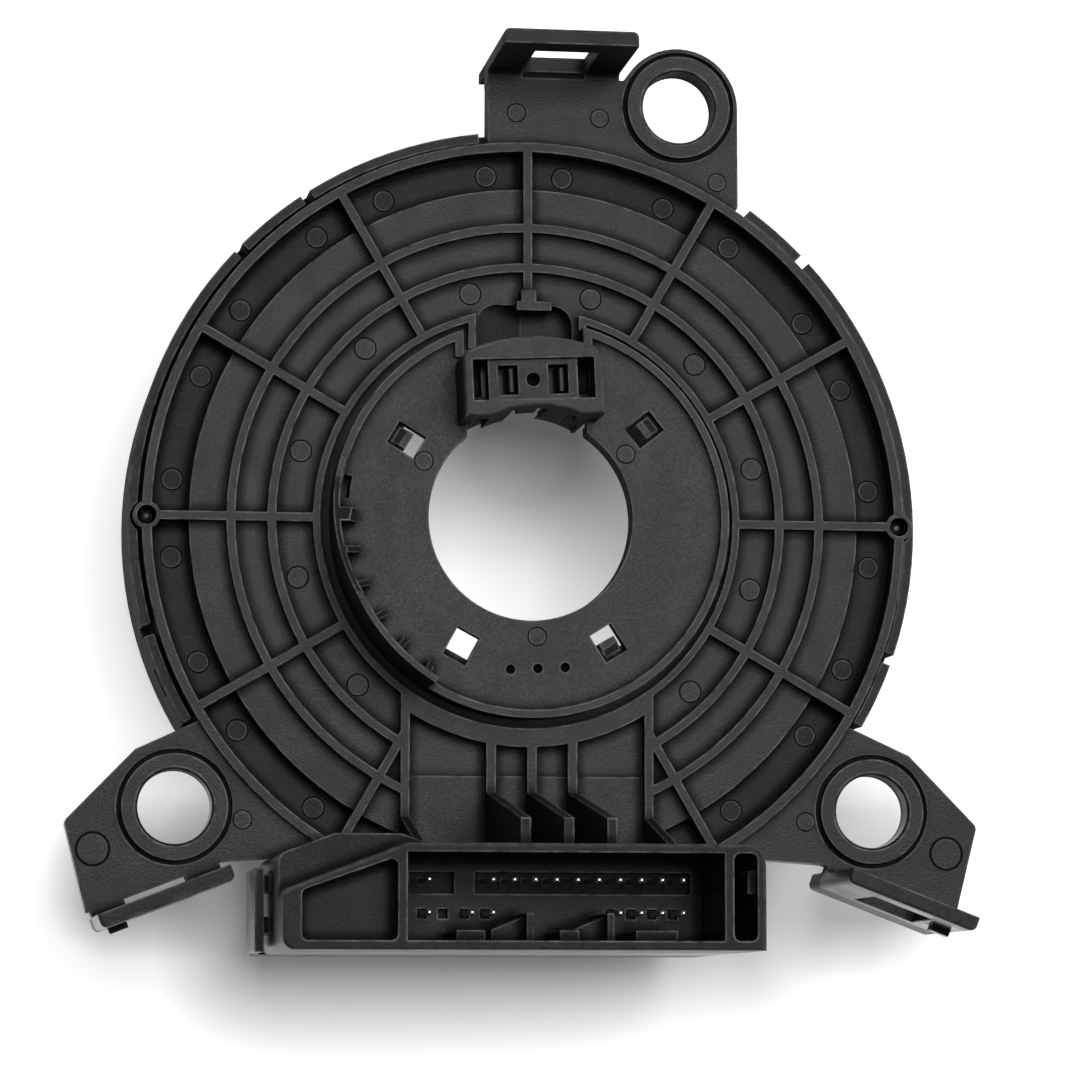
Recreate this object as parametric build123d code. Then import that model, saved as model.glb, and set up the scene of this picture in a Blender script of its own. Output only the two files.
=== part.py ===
"""Steering clock spring: a ribbed housing and a drum case hold a wound flat cable, and a rotor turns in them.

Millimetres. The origin is on the axis of rotation, in the plane of the rear housing's rib tops.
+Z points to the steering column, +Y to the top ear, and the front of the rotor points to -Z.
"""
from build123d import *
from math import cos, radians, sin
import os

# Rear housing, the ribbed plate that is screwed to the column
rib_top = 0.0
rim_inner_r = 47.2
rim_wall = 1.2
rim_depth = 7.0
rib_height = 1.2
rib_width = 1.1
plate_wall = 1.5
trough_depth = 3.6
trough_width = 4.7
outer_rib_r = 36.8
inner_rib_r = 31.7
ring_rib_gap = 1.1
ring_rib_width = 0.9
radial_rib_count = 12

# Recess in the ring behind the rear socket, with a T-shaped stop over its edge
recess_left_x = -6.4
recess_slope_x = -0.5
recess_right_x = 5.8
recess_reach = 1.4
recess_round_r = 2.6
recess_depth = 3.3
recess_wall = 1.2
left_end_wall_x = -7.1
right_end_wall_x = 7.0
stop_x = 0.7
stop_half_width = 2.2
stop_overhang = 0.9
stop_seat = 0.2
stop_height = 0.8
stop_foot_half_width = 0.95
stop_foot_length = 1.7

# Connector sector, between two straight frame ribs below the ring
sector_half_width = 15.4
sector_depth = 1.9
sector_step_y = -32.1
sector_step = 0.4
sector_band = 1.4
fin_pitch = 5.15
fin_middle_x = 0.55
fin_wall = 1.2
fin_top_z = 31.0
fin_foot_y = -33.9
fin_crest_y = -38.8
side_fin_foot_y = -36.8
side_fin_top_z = 22.0

# Mounting ears, bores and clip loops
mount_circle_r = 57.0
top_bore_angle = 70.0
low_bore_angle = 219.5
bore_r = 4.6
bore_boss_r = 6.6
bore_chamfer = 0.35
boss_groove = 0.6
boss_groove_depth = 0.6
ear_top_z = -0.5
ear_thickness = 3.5
top_ear_left_x = -5.05
top_ear_edge_y = 56.9
top_ear_low_y = 41.0
top_ear_low_angle = 58.5
top_ear_round_r = 7.7
ear_root = 2.5
low_ear_high_angle = -32.5
low_ear_low_angle = -56.0
low_ear_shoulder = (48.9, -29.15)
low_ear_corner = (57.6, -38.1)
low_ear_edge_y = -41.9
low_ear_edge_x = 22.6
ear_corner_r = 1.0
clip_width = 17.0
clip_arm = 4.5
clip_gap = 0.8
clip_wall = 1.9
clip_top_z = 15.5
clip_bar_height = 4.4
clip_round_r = 0.8
clip_foot = 0.5
clip_skirt_z = -9.0
clip_root = 1.0
clip_nib = 0.8
clip_nib_half_width = 1.2
clip_nib_low = 5.0
clip_nib_high = 7.0
top_clip_x = 3.35
low_clip_angle = 21.0
low_clip_x = 46.35
low_clip_y = -46.2

# Connector shroud on the rear housing
shroud_left_x = -33.4
shroud_right_x = 23.6
shroud_outer_y = -54.4
shroud_inner_y = -41.9
shroud_slant_x = -18.9
shroud_slant_y = -47.5
shroud_top_z = 34.0
shroud_wall = 1.1
shroud_round_r = 1.4
shroud_end_round_r = 2.8
shroud_edge_r = 0.45
shoulder_z = 27.0
shoulder_outer_y = -40.6
shoulder_outer_x = -26.7
shoulder_end_x = -15.0
shoulder_left_y = -43.1
shroud_foot_z = -1.7
skirt_low_z = -15.5
cavity_left_x = -18.9
cavity_right_x = 18.6
cavity_floor_z = 18.0
cavity_floor_wall = 1.8
key_fins_x = [-4.1, 5.5]
key_fin_wall = 0.8
key_fin_depth = 3.3
key_fin_top_z = 31.0
key_ramp_length = 4.2
key_ramp_depth = 1.4
key_blocks = [(-10.9, 1.7), (0.8, 1.15), (11.25, 2.5)]
key_block_depth = 1.3
key_block_drop = 1.5
side_pocket_wall = 2.2
side_pocket_depth = 4.0
side_pocket_round_r = 0.8
end_pocket_depth = 20.0
end_key_from = 5.6
end_key_length = 2.7
end_key_depth = 0.9

# Terminals in the connector
terminal_size = 0.64
terminal_pitch = 2.54
first_terminal_x = 15.1
upper_row_y = -45.9
lower_row_y = -49.8
terminal_tip_z = 26.0
terminal_seat_depth = 5.0
upper_row = [0, 1, 2, 3, 4, 5, 6, 7, 8, 9, 12]
lower_row = [0, 1, 2, 3, 9, 10, 12]
row_slot_height = 2.6
row_slot_above = 1.1
row_slots_x = [(-16.9, -11.5), (-9.0, 17.3)]
pin_slot_half = 0.6
empty_pin_slot = 11
carrier_height = 13.5
carrier_side = 1.6
carrier_inset = 0.6

# Lock plate on the connector's short side
latch_plate_length = 10.0
latch_plate_wall = 1.1
latch_plate_gap = 0.9
latch_plate_low_z = 4.0
latch_plate_high_z = 18.0
latch_foot_length = 2.0
latch_foot_inset = 0.8

# Front case, the drum shell round the cable
case_gap = 0.5
case_wall = 1.2
case_top_z = -2.0
case_low_z = -18.0
case_floor_z = -17.2
case_floor_wall = 1.2
case_hole_gap = 0.4
ear_relief_gap = 0.3
seat_ledge = 1.5
tab_slot_angle = 1.6
tab_angles = [(44.5, 54.5), (125.0, 136.0), (197.5, 211.0), (329.5, 339.5)]
relief_angles = [(55.8, 97.0), (211.0, 329.5)]
catch_height = 1.6
catch_half_angle = 1.8
catch_reach = 0.9
catch_gap = 0.3
cable_window_half = 8.0
pin_boss_r = 1.7
pin_hole_r = 1.2
pin_r = 0.8
pin_top_z = -1.4

# Sliding sheets and flat cable
sheet_thickness = 0.25
cable_gap = 0.35
cable_thickness = 0.3
cable_half_turns = 15
cable_inner_gap = 1.7
cable_outer_gap = 2.6
outer_terminal_half_width = 7.2
inner_terminal_half_angle = 9.0
inner_terminal_wall = 1.2

# Rotor: hub with the front disc, and the rear disc that is latched to it
rotor_rest_turn = 2.6
rotor_bore_r = 12.9
bore_wall_height = 3.6
bore_wall = 0.9
drum_outer_r = 22.7
drum_wall = 1.5
front_disc_inset = 1.9
front_disc_wall = 1.8
front_disc_gap = 0.4
collar_low_z = -26.0
front_rim_height = 1.4
front_rim_width = 1.5
floor_z = -30.0
lug_circle_r = 38.0
lug_length = 9.0
lug_width = 4.0
lug_round_r = 1.2
stiffener_count = 12
stiffener_wall = 1.0
rear_disc_overhang = 2.4
rear_disc_top_z = 3.0
rear_disc_wall = 1.8
rear_rim_width = 1.0
rear_rim_height = 0.6
rear_skirt_gap = 0.3
notch_half_width = 7.6
notch_wall = 1.1
notch_wall_low_y = 20.5
window_circle_r = 18.4
window_width = 3.1
window_length = 3.9
window_ledge = 0.9
window_ledge_drop = 1.0
open_window_angle = 239.0
latch_angles = [35.8, 146.0, 299.5]
latch_wall = 0.9
latch_width = 2.2
latch_nose = 1.2
latch_foot_z = -7.0
latch_foot_height = 4.0
cam_top_z = 11.5
cam_wall = 0.8
cam_start = 160.5
cam_end = 236.3
cam_ramp_y = (5.9, -9.5)
cam_ramp_low_z = 3.8
gusset_pitch = 11.0
gusset_first = 178.0
gusset_count = 6
gusset_depth = 2.2
gusset_wall = 0.9
gusset_low_top_z = 4.6
gusset_top_z = 9.0
cam_slot_width = 1.1
cam_slot_start = 165.2
cam_slot_end = 172.2
blind_hole_r = 0.6
blind_hole_depth = 1.5
blind_hole_pitch = 3.45
blind_hole_y = -18.9

# Rear socket on the rotor, with its insert and two spring contacts
socket_half_width = 8.75
socket_outer_r = 21.8
socket_inner_r = 13.1
socket_flat_y = 11.9
socket_top_z = 11.0
socket_tray_z = 7.0
socket_tray_wall = 1.2
socket_lip_height = 2.6
socket_low_z = -7.0
socket_leg_wall = 1.7
socket_round_r = 1.3
socket_edge_r = 0.4
socket_fingers = [(-5.3, -2.5, -1.0), (-1.6, 0.7, 4.0), (2.0, 4.5, -1.0), (5.8, 7.4, 3.2)]
end_slot_width = 1.4
socket_window_half = 7.6
socket_window_low_y = 13.9
socket_window_high_y = 19.0
insert_half_width = 5.6
insert_slot_x = 3.15
insert_slot_width = 2.5
insert_slot_length = 3.7
insert_hole_r = 0.85
insert_drop = 0.9
contact_sheet = 0.35
contact_crest_r = 0.65
contact_crest_drop = 1.35
contact_offset = 0.45
contact_margin = 0.4

# Sockets on the front of the rotor
front_socket_y = 30.0
airbag_socket_width = 17.0
airbag_socket_depth = 11.0
switch_socket_width = 24.0
switch_socket_depth = 10.0
front_socket_wall = 1.2
front_socket_floor = 2.0
front_socket_round_r = 1.0
front_key_width = 3.0
front_key_depth = 5.0
airbag_pin_count = 4
switch_pin_count = 8
front_pin_pitch = 2.54
front_pin_length = 5.5

running_gap = 0.3
fit_gap = 0.05
press_gap = 0.01
# How deep a joined block starts inside its neighbour, and how far a cut runs past the face that it opens
sink = 0.2
past = 1.0

# Sizes that follow from those above
lip_inner_r = drum_outer_r + running_gap
case_hole_r = drum_outer_r + case_hole_gap
cable_inner_r = drum_outer_r + cable_inner_gap
rear_disc_r = drum_outer_r + rear_disc_overhang
ring_rib_r = rear_disc_r + ring_rib_gap
recess_far_y = ring_rib_r + recess_reach
band_floor_z = rib_top - rib_height
band_under_z = band_floor_z - plate_wall
trough_floor_z = rib_top - trough_depth
trough_under_z = trough_floor_z - plate_wall
rim_outer_r = rim_inner_r + rim_wall
rim_low_z = rib_top - rim_depth
trough_inner_r = rim_inner_r - trough_width
ear_low_z = ear_top_z - ear_thickness
ear_relief_z = ear_low_z - ear_relief_gap
case_inner_r = rim_outer_r + case_gap
case_outer_r = case_inner_r + case_wall
pin_circle_r = (rim_inner_r + rim_outer_r) / 2
front_disc_r = case_inner_r - front_disc_inset
drum_inner_r = drum_outer_r - drum_wall
case_floor_top_z = case_floor_z + case_floor_wall
front_disc_top_z = case_floor_z - front_disc_gap
front_disc_low_z = front_disc_top_z - front_disc_wall
rear_disc_under_z = rear_disc_top_z - rear_disc_wall
cable_top_z = trough_under_z - sheet_thickness - cable_gap
cable_low_z = case_floor_top_z + sheet_thickness + cable_gap
cable_outer_r = case_inner_r - cable_outer_gap
carrier_top_z = cavity_floor_z - cavity_floor_wall


def tube(inner_r, outer_r, low_z, high_z):
    """A plain ring about the axis."""
    return Pos(0, 0, low_z) * extrude(Circle(outer_r) - Circle(inner_r), high_z - low_z)


def disc(radius, low_z, high_z, x=0.0, y=0.0):
    """A round solid that stands on low_z."""
    return Pos(x, y, low_z) * extrude(Circle(radius), high_z - low_z)


def block(x_range, y_range, z_range):
    """A box between two limits on each axis."""
    centre = [(a + b) / 2 for a, b in (x_range, y_range, z_range)]
    size = [abs(b - a) for a, b in (x_range, y_range, z_range)]
    return Pos(*centre) * Box(*size)


def prism(points, low_z, high_z):
    """A solid on a straight-sided outline."""
    return Pos(0, 0, low_z) * extrude(make_face(Polyline(*points, close=True)), high_z - low_z)


def arc_prism(inner_r, outer_r, start, end, low_z, high_z):
    """A stretch of ring between two angles in degrees."""
    sweep = end - start
    outer = CenterArc((0, 0), outer_r, start, sweep)
    inner = CenterArc((0, 0), inner_r, start, sweep)
    ends = [Line(inner @ 0, outer @ 0), Line(inner @ 1, outer @ 1)]
    return Pos(0, 0, low_z) * extrude(make_face([outer, inner] + ends), high_z - low_z)


def on_circle(radius, angle):
    """The point at an angle on a circle about the axis."""
    return radius * cos(radians(angle)), radius * sin(radians(angle))


def turned(shape, angle):
    """A shape turned about the axis."""
    return Rot(0, 0, angle) * shape


def ribs():
    """The web of ribs on the rear face: three rings, twelve spokes and the sector's straight ribs."""
    web = tube(ring_rib_r, ring_rib_r + ring_rib_width, band_under_z, rib_top)
    for inner_r in (inner_rib_r, outer_rib_r):
        web += tube(inner_r, inner_r + rib_width, band_under_z, rib_top)
    spoke_length = rim_inner_r - ring_rib_r
    spoke = block((ring_rib_r, ring_rib_r + spoke_length), (-rib_width / 2, rib_width / 2),
                  (trough_under_z, rib_top))
    spoke -= disc(trough_inner_r - plate_wall, trough_under_z - past, band_under_z)
    for index in range(radial_rib_count):
        web += turned(spoke, index * 360 / radial_rib_count)
    sector = block((-sector_half_width, sector_half_width), (-rim_inner_r, 0), (band_under_z, rib_top + past))
    web -= sector - disc(ring_rib_r + ring_rib_width, band_under_z, rib_top + past)
    for side in (-1, 1):
        x = side * sector_half_width
        frame = block((x - rib_width / 2, x + rib_width / 2), (-rim_inner_r, 0), (band_under_z, rib_top))
        web += frame - disc(ring_rib_r, band_under_z - past, rib_top + past)
    for index in (-1, 0, 1):
        x = fin_middle_x + index * fin_pitch
        rib = block((x - fin_wall / 2, x + fin_wall / 2), (shroud_inner_y, 0), (band_under_z, rib_top))
        web += rib - disc(ring_rib_r, band_under_z - past, rib_top + past)
    return web


def housing_plate():
    """The stepped annular floor with its rim, its bearing lip and the sector's sunk field."""
    plate = tube(lip_inner_r, trough_inner_r, band_under_z, band_floor_z)
    plate += tube(trough_inner_r - plate_wall, rim_outer_r, trough_under_z, trough_floor_z)
    plate += tube(trough_inner_r - plate_wall, trough_inner_r, trough_under_z, band_floor_z)
    plate += tube(rim_inner_r, rim_outer_r, rim_low_z, rib_top)
    inset = sector_half_width - rib_width / 2
    sunk_z = rib_top - sector_depth
    field_r = ring_rib_r + ring_rib_width + sector_band
    field = block((-inset, inset), (-rim_inner_r, 0), (sunk_z, rib_top + past))
    field -= disc(field_r, sunk_z - past, rib_top + 2 * past)
    filled = block((-inset, inset), (-trough_inner_r, 0), (band_under_z, rib_top - sector_depth))
    filled -= disc(lip_inner_r, band_under_z - past, rib_top)
    band = block((-inset, inset), (-field_r, 0), (band_under_z, rib_top)) & tube(
        ring_rib_r, field_r, band_under_z, rib_top)
    raised = block((-inset, inset), (-trough_inner_r, sector_step_y), (band_under_z, sunk_z + sector_step))
    return (plate - field) + filled + band + raised


def fins():
    """The gussets that brace the connector shroud against the plate."""
    y_end = shroud_inner_y - shroud_wall / 2
    tall = [(fin_foot_y, band_floor_z - sector_depth / 2), (fin_crest_y, fin_top_z),
            (y_end, fin_top_z), (y_end, band_floor_z - sector_depth / 2)]
    short = [(side_fin_foot_y, band_floor_z - sector_depth / 2), (y_end, side_fin_top_z),
             (y_end, band_floor_z - sector_depth / 2)]
    placed = [(fin_middle_x + index * fin_pitch, tall) for index in (-1, 0, 1)]
    placed += [(side * sector_half_width, short) for side in (-1, 1)]
    web = Part()
    for x, outline in placed:
        face = make_face(Polyline(*outline, close=True))
        web += extrude(Plane((x - fin_wall / 2, 0, 0), x_dir=(0, 1, 0), z_dir=(1, 0, 0)) * face, fin_wall)
    return web


def clip_loop():
    """One clip loop in its own frame: X along the ear's edge, Y outwards from it."""
    half = clip_width / 2
    wall_y = (clip_gap, clip_gap + clip_wall)
    loop = block((-half, half), wall_y, (clip_skirt_z, clip_top_z))
    loop = fillet(loop.edges().filter_by(Axis.Z).sort_by(Axis.Y)[-2:], clip_round_r)
    loop = fillet(loop.faces().sort_by(Axis.Z)[-1].edges().sort_by(Axis.Y)[1:], clip_round_r / 2)
    loop += block((-half, half), (-clip_root, clip_gap + clip_wall / 2), (ear_low_z + clip_foot, ear_top_z))
    roll = block((-half, half), (0, clip_gap), (ear_top_z, ear_top_z + clip_gap))
    roll -= Pos(0, 0, ear_top_z + clip_gap) * Rot(0, 90, 0) * Cylinder(clip_gap, clip_width + past)
    loop += roll
    window_half = half - clip_arm
    loop -= block((-window_half, window_half), (0, clip_gap), (clip_skirt_z, clip_top_z))
    loop -= block((-window_half, window_half), (0, wall_y[1] + past),
                  (ear_top_z, clip_top_z - clip_bar_height))
    nib_x = -window_half - clip_arm / 2
    return loop + block((nib_x - clip_nib_half_width, nib_x + clip_nib_half_width),
                        (wall_y[1] - sink, wall_y[1] + clip_nib),
                        (ear_top_z + clip_nib_low, ear_top_z + clip_nib_high))


def ear(outline, bore_angle, round_r, corner):
    """A flat ear with its bore and the raised ring round the bore, rounded at one of its corners."""
    x, y = on_circle(mount_circle_r, bore_angle)
    plate = prism(outline, ear_low_z, ear_top_z)
    uprights = plate.edges().filter_by(Axis.Z)
    plate = fillet(uprights.sort_by_distance(Vector(*corner, ear_low_z))[0], ear_corner_r)
    plate += disc(round_r, ear_low_z, ear_top_z, x, y)
    plate -= disc(rim_inner_r + rim_wall / 2, ear_low_z - past, rib_top + past)
    groove = disc(bore_boss_r + boss_groove, ear_top_z - boss_groove_depth, ear_top_z + past, x, y)
    plate -= groove - disc(bore_boss_r, ear_low_z, ear_top_z + 2 * past, x, y)
    plate += disc(bore_boss_r, ear_low_z, rib_top, x, y)
    bevel = Pos(x, y, rib_top - bore_chamfer / 2) * Cone(bore_r, bore_r + bore_chamfer, bore_chamfer)
    return plate - disc(bore_r, ear_low_z - past, rib_top + past, x, y) - bevel


def ears():
    """The top ear and the two lower ears, each with its clip loop."""
    root_r = rim_inner_r - ear_root
    bore_x, bore_y = on_circle(mount_circle_r, top_bore_angle)
    right_x = bore_x + top_ear_round_r
    top_corner = (top_ear_left_x, top_ear_edge_y)
    top_outline = [(top_ear_left_x, root_r), top_corner, (bore_x, top_ear_edge_y), (bore_x, bore_y),
                   (right_x, bore_y), (right_x, top_ear_low_y), on_circle(root_r, top_ear_low_angle)]
    top = ear(top_outline, top_bore_angle, top_ear_round_r, top_corner)
    top += Pos(top_clip_x, top_ear_edge_y, 0) * clip_loop()
    half = clip_width / 2 + clip_foot
    across = (cos(radians(low_clip_angle)), -sin(radians(low_clip_angle)))
    near = (low_clip_x - half * across[0], low_clip_y - half * across[1])
    far = (low_clip_x + half * across[0], low_clip_y + half * across[1])
    low_outline = [on_circle(root_r, low_ear_high_angle), low_ear_shoulder, low_ear_corner, far, near,
                   (low_ear_edge_x, low_ear_edge_y), on_circle(root_r, low_ear_low_angle)]
    right = ear(low_outline, 180 - low_bore_angle, bore_boss_r, low_ear_corner)
    right += Pos(low_clip_x, low_clip_y, 0) * Rot(0, 0, 180 - low_clip_angle) * clip_loop()
    return top + right + mirror(right, about=Plane.YZ)


def rounded_upright(shape):
    """Rounds the connector's two left edges and, more, its right corner towards the axis."""
    uprights = shape.edges().filter_by(Axis.Z)
    shape = fillet(uprights.sort_by(Axis.X)[:2], shroud_round_r)
    inner_corner = shape.edges().filter_by(Axis.Z).sort_by(lambda edge: edge.center().X + edge.center().Y)[-1]
    return fillet(inner_corner, shroud_end_round_r)


def shroud_body():
    """The connector's solid outside: rim, shoulder and skirt."""
    straight_points = [(shroud_left_x, shroud_outer_y), (shroud_right_x, shroud_outer_y),
                       (shroud_right_x, shroud_inner_y)]
    rim_points = straight_points + [(shroud_slant_x, shroud_inner_y), (shroud_left_x, shroud_slant_y)]
    low_points = straight_points + [(shoulder_end_x, shroud_inner_y), (shroud_slant_x, shoulder_outer_y),
                                    (shoulder_outer_x, shoulder_outer_y), (shroud_left_x, shoulder_left_y)]
    upper = rounded_upright(prism(rim_points, shoulder_z, shroud_top_z))
    upper = fillet(upper.faces().sort_by(Axis.Z)[-1].edges(), shroud_edge_r)
    lower = rounded_upright(prism(low_points, shroud_foot_z, shoulder_z))
    skirt = prism(rim_points, skirt_low_z, shroud_foot_z)
    return upper + lower + (skirt - disc(case_outer_r + running_gap, skirt_low_z - past, rib_top))


def connector_shroud():
    """The deep multi-pole connector with its cavity, pockets, keys, pin slots and terminal chamber."""
    shroud = shroud_body()
    inner_y = (shroud_outer_y + shroud_wall, shroud_inner_y - shroud_wall)
    shroud -= block((cavity_left_x, cavity_right_x), inner_y, (cavity_floor_z, shroud_top_z + past))
    wall_x = cavity_left_x - shroud_wall
    pocket_x = shroud_left_x + side_pocket_wall
    pocket = [(pocket_x, inner_y[0]), (wall_x, inner_y[0]), (wall_x, shroud_inner_y - 1.5 * shroud_wall),
              (pocket_x, shroud_slant_y)]
    pocket = prism(pocket, shroud_top_z - side_pocket_depth, shroud_top_z + past)
    shroud -= fillet(pocket.edges().filter_by(Axis.Z), side_pocket_round_r)
    end_x = (cavity_right_x + shroud_wall, shroud_right_x - shroud_wall)
    end_z = (shroud_top_z - end_pocket_depth, shroud_top_z + past)
    shroud -= fillet(block(end_x, inner_y, end_z).edges().filter_by(Axis.Z), side_pocket_round_r)
    key_y = inner_y[0] + end_key_from
    shroud += block((end_x[1] - end_key_depth, end_x[1] + sink), (key_y, key_y + end_key_length),
                    (end_z[0] - sink, shroud_top_z - key_block_drop))
    foot_y = inner_y[0] - sink
    foot_z = cavity_floor_z - sink
    for x in key_fins_x:
        shroud += block((x - key_fin_wall / 2, x + key_fin_wall / 2), (foot_y, inner_y[0] + key_fin_depth),
                        (foot_z, key_fin_top_z))
        ramp = [(x - key_ramp_length, foot_y), (x, foot_y), (x, inner_y[0] + key_fin_depth - sink),
                (x - key_ramp_length, inner_y[0] + key_ramp_depth)]
        shroud += prism(ramp, foot_z, key_fin_top_z - 2 * key_block_drop)
    for x, half in key_blocks:
        shroud += block((x - half, x + half), (foot_y, inner_y[0] + key_block_depth),
                        (foot_z, key_fin_top_z - key_block_drop))
    shroud -= block((cavity_left_x + carrier_inset, cavity_right_x - carrier_inset),
                    (lower_row_y - carrier_side, upper_row_y + carrier_side),
                    (carrier_top_z - carrier_height, carrier_top_z))
    slot_y = (upper_row_y + row_slot_above - row_slot_height, upper_row_y + row_slot_above)
    slot_z = (carrier_top_z - sink, cavity_floor_z + sink)
    for x_range in row_slots_x:
        shroud -= block(x_range, slot_y, slot_z)
    for column in lower_row + [empty_pin_slot]:
        x = first_terminal_x - column * terminal_pitch
        shroud -= block((x - pin_slot_half, x + pin_slot_half),
                        (lower_row_y - pin_slot_half, lower_row_y + pin_slot_half), slot_z)
    chamber = block((-outer_terminal_half_width - running_gap, outer_terminal_half_width + running_gap),
                    (shroud_outer_y + carrier_side, -case_inner_r), (skirt_low_z + carrier_side, rim_low_z))
    return shroud - (chamber - disc(case_outer_r, skirt_low_z, 0))


def recess_body(grow, floor_z, high_z):
    """The room of the recess behind the rear socket, grown by a wall: its floor falls from left to right."""
    left_x, right_x, far_y = recess_left_x - grow, recess_right_x + grow, recess_far_y + grow
    profile = [(left_x, band_floor_z - grow), (recess_slope_x, floor_z), (right_x, floor_z),
               (right_x, high_z), (left_x, high_z)]
    room = extrude(Plane.XZ * make_face(Polyline(*profile, close=True)), far_y, both=True)
    outline = block((left_x, right_x), (0, far_y), (floor_z, high_z))
    return room & fillet(outline.edges().filter_by(Axis.Z).sort_by(Axis.Y)[-2:], recess_round_r + grow)


def recess(housing):
    """The housing with the recess behind the rear socket, its floor, its end walls and its T-shaped stop."""
    recess_floor_z = rib_top - recess_depth
    tray = recess_body(recess_wall, recess_floor_z - recess_wall, band_floor_z)
    housing += tray - disc(lip_inner_r, recess_floor_z - 2 * recess_wall, rib_top)
    housing -= block((left_end_wall_x, right_end_wall_x), (0, ring_rib_r + 2 * ring_rib_width),
                     (band_floor_z, rib_top + past))
    housing -= recess_body(0, recess_floor_z, rib_top + past)
    for x in (left_end_wall_x, right_end_wall_x):
        wall = block((x - ring_rib_width / 2, x + ring_rib_width / 2), (0, ring_rib_r + ring_rib_width),
                     (band_under_z, rib_top))
        housing += wall & tube(lip_inner_r, ring_rib_r + ring_rib_width, band_under_z, rib_top)
    housing += block((stop_x - stop_half_width, stop_x + stop_half_width),
                     (recess_far_y - stop_overhang, recess_far_y + stop_seat),
                     (band_under_z, rib_top + stop_height))
    return housing + block((-stop_foot_half_width, stop_foot_half_width),
                           (recess_far_y + stop_seat / 2, recess_far_y + stop_foot_length),
                           (band_under_z, rib_top + stop_height))


def rear_housing():
    """The whole rear moulding: plate, ribs, ears, fins and connector shroud."""
    housing = recess(housing_plate() + ribs()) + ears() + fins() + connector_shroud()
    for angle in (0, 180):
        x, y = on_circle(pin_circle_r, angle)
        housing += disc(pin_boss_r, rim_low_z, rib_top - fit_gap, x, y)
        housing -= disc(pin_hole_r, rim_low_z - past, rib_top + past, x, y)
    for start, end in tab_angles:
        middle = (start + end) / 2
        housing += arc_prism(rim_outer_r - sink, case_inner_r + catch_reach, middle - catch_half_angle,
                             middle + catch_half_angle, ear_relief_z - catch_height, ear_relief_z)
    return housing


def front_case():
    """The drum shell with its floor, snap tabs and two locating pins."""
    case = tube(case_inner_r, case_outer_r, case_low_z, case_top_z)
    case += tube(case_hole_r, case_inner_r + sink, case_floor_z, case_floor_top_z)
    case += tube(case_inner_r - seat_ledge, case_inner_r + sink, rim_low_z - seat_ledge, rim_low_z)
    for start, end in relief_angles:
        case -= arc_prism(case_inner_r - sink, case_outer_r + past, start, end, ear_relief_z,
                          case_top_z + past)
    for start, end in tab_angles:
        for edge in (start - tab_slot_angle, end):
            case -= arc_prism(case_inner_r - sink, case_outer_r + past, edge, edge + tab_slot_angle,
                              rim_low_z, case_top_z + past)
        middle = (start + end) / 2
        half_angle = catch_half_angle + catch_gap
        case -= arc_prism(case_inner_r - sink, case_outer_r + past, middle - half_angle, middle + half_angle,
                          ear_relief_z - catch_height - catch_gap, ear_relief_z + catch_gap)
    case -= block((-cable_window_half, cable_window_half),
                  (-case_outer_r - past, -case_inner_r + 2 * seat_ledge),
                  (case_floor_top_z + case_gap, rim_low_z + sink))
    for angle in (0, 180):
        x, y = on_circle(pin_circle_r, angle)
        case -= disc(pin_boss_r + catch_gap, rim_low_z, case_top_z + past, x, y)
        case += disc(pin_r, case_floor_top_z, pin_top_z - pin_r, x, y)
        case += Pos(x, y, pin_top_z - pin_r / 2) * Cone(pin_r, pin_r / 4, pin_r)
    return case


def sliding_sheet(clear_r, low_z):
    """A thin low-friction ring for the edge of the cable, clear of the locating pins or their bosses."""
    return tube(cable_inner_r, pin_circle_r - clear_r - fit_gap, low_z, low_z + sheet_thickness)


def terminal(x, y, low_z, high_z):
    """One square pin with a chamfered tip."""
    half = terminal_size / 2
    pin = block((x - half, x + half), (y - half, y + half), (low_z, high_z))
    return chamfer(pin.edges().group_by(Axis.Z)[-1], terminal_size / 3)


def terminal_row(columns, y):
    """A row of connector terminals, one solid each."""
    low_z = carrier_top_z - terminal_seat_depth
    return Compound([terminal(first_terminal_x - column * terminal_pitch, y, low_z, terminal_tip_z)
                     for column in columns])


def terminal_carrier():
    """The moulded block under the connector's floor that holds both rows of terminals."""
    inset = carrier_inset + fit_gap
    carrier = block((cavity_left_x + inset, cavity_right_x - inset),
                    (lower_row_y - carrier_side + fit_gap, upper_row_y + carrier_side - fit_gap),
                    (carrier_top_z - carrier_height, carrier_top_z - fit_gap))
    half = terminal_size / 2 + press_gap
    for columns, y in ((upper_row, upper_row_y), (lower_row, lower_row_y)):
        for column in columns:
            x = first_terminal_x - column * terminal_pitch
            carrier -= block((x - half, x + half), (y - half, y + half),
                             (carrier_top_z - terminal_seat_depth, carrier_top_z + past))
    return carrier


def side_latch():
    """The slim lock plate on the connector's short side, on its two feet."""
    foot_x = (shroud_left_x - latch_plate_gap, shroud_left_x)
    y = shroud_outer_y
    latch = block((foot_x[0] - latch_plate_wall, foot_x[0]), (y, y + latch_plate_length),
                  (latch_plate_low_z, latch_plate_high_z))
    foot_z = (latch_plate_low_z + latch_foot_inset, latch_plate_high_z - latch_foot_inset)
    low_y = y + shroud_round_r + latch_foot_inset
    high_y = y + latch_plate_length - latch_foot_inset
    for foot_y in ((low_y, low_y + latch_foot_length), (high_y - latch_foot_length, high_y)):
        latch += block(foot_x, foot_y, foot_z)
    return latch


def outer_cable_terminal():
    """The clamp block on the fixed end of the flat cable, in the case wall's window."""
    wall = carrier_side + sink
    return block((-outer_terminal_half_width, outer_terminal_half_width),
                 (shroud_outer_y + wall, -cable_outer_r + cable_thickness),
                 (skirt_low_z + wall, rim_low_z - sink))


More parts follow.
